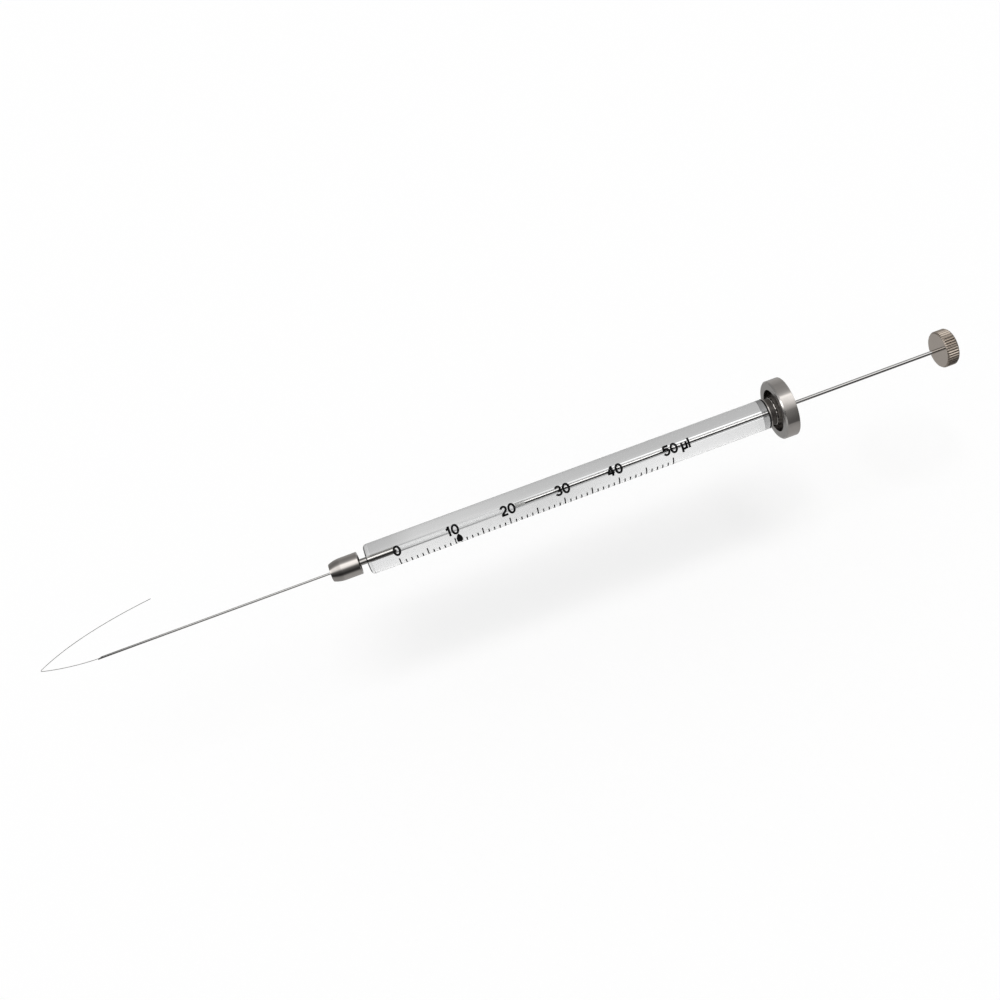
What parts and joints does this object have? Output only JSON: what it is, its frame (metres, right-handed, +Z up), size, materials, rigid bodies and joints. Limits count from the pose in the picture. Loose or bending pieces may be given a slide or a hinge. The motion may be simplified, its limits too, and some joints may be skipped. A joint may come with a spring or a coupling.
{
  "type": "microsyringe",
  "caption": "Glass microsyringe with a printed scale, screwed-on needle, steel flange and a sliding plunger with a knurled button.",
  "frame": {"origin": "on the syringe's axis at the zero line of the scale", "axes": "+X along the axis from the needle to the plunger button; +Z up; the numbers of the scale face the front (-Y) and up"},
  "size_m": [0.2001, 0.0128, 0.0128],
  "materials": {
    "clear_glass": "clear polished borosilicate glass",
    "ink": "black fired ink",
    "steel": "fine turned stainless steel",
    "black_ring": "black",
    "collar_brass": "turned brass",
    "white_ptfe": "smooth white fluoropolymer",
    "nickel": "warm satin nickel, knurled rim"
  },
  "bodies": {
    "barrel": {"glass_barrel": "clear_glass", "scale_marks": "ink", "needle_stem": "steel", "barrel_flange": "steel", "end_ring": "black_ring", "plunger_guide": "steel"},
    "needle": {"needle_tube": "steel", "needle_collar": "collar_brass", "needle_seal": "white_ptfe", "cleaning_wire": "steel"},
    "nut": {"needle_nut": "steel"},
    "plunger": {"plunger_rod": "steel", "plunger_tip": "white_ptfe", "plunger_button": "nickel"}
  },
  "joints": [
    {"name": "plunger_slide", "type": "slide", "parent": "barrel", "child": "plunger", "axis": [1, 0, 0], "range_m": [-0.026, 0.034]},
    {"name": "needle_release", "type": "slide", "parent": "barrel", "child": "needle", "axis": [-1, 0, 0], "range_m": [0, 0.0035]},
    {"name": "nut_turn", "type": "hinge", "parent": "needle", "child": "nut", "pos_m": [-0.0113, 0, 0], "axis": [-1, 0, 0], "range_deg": [0, 2520]}
  ],
  "couplings": [
    {"joint": "nut_turn", "follows": "needle_release", "rad_per_m": 12566}
  ]
}
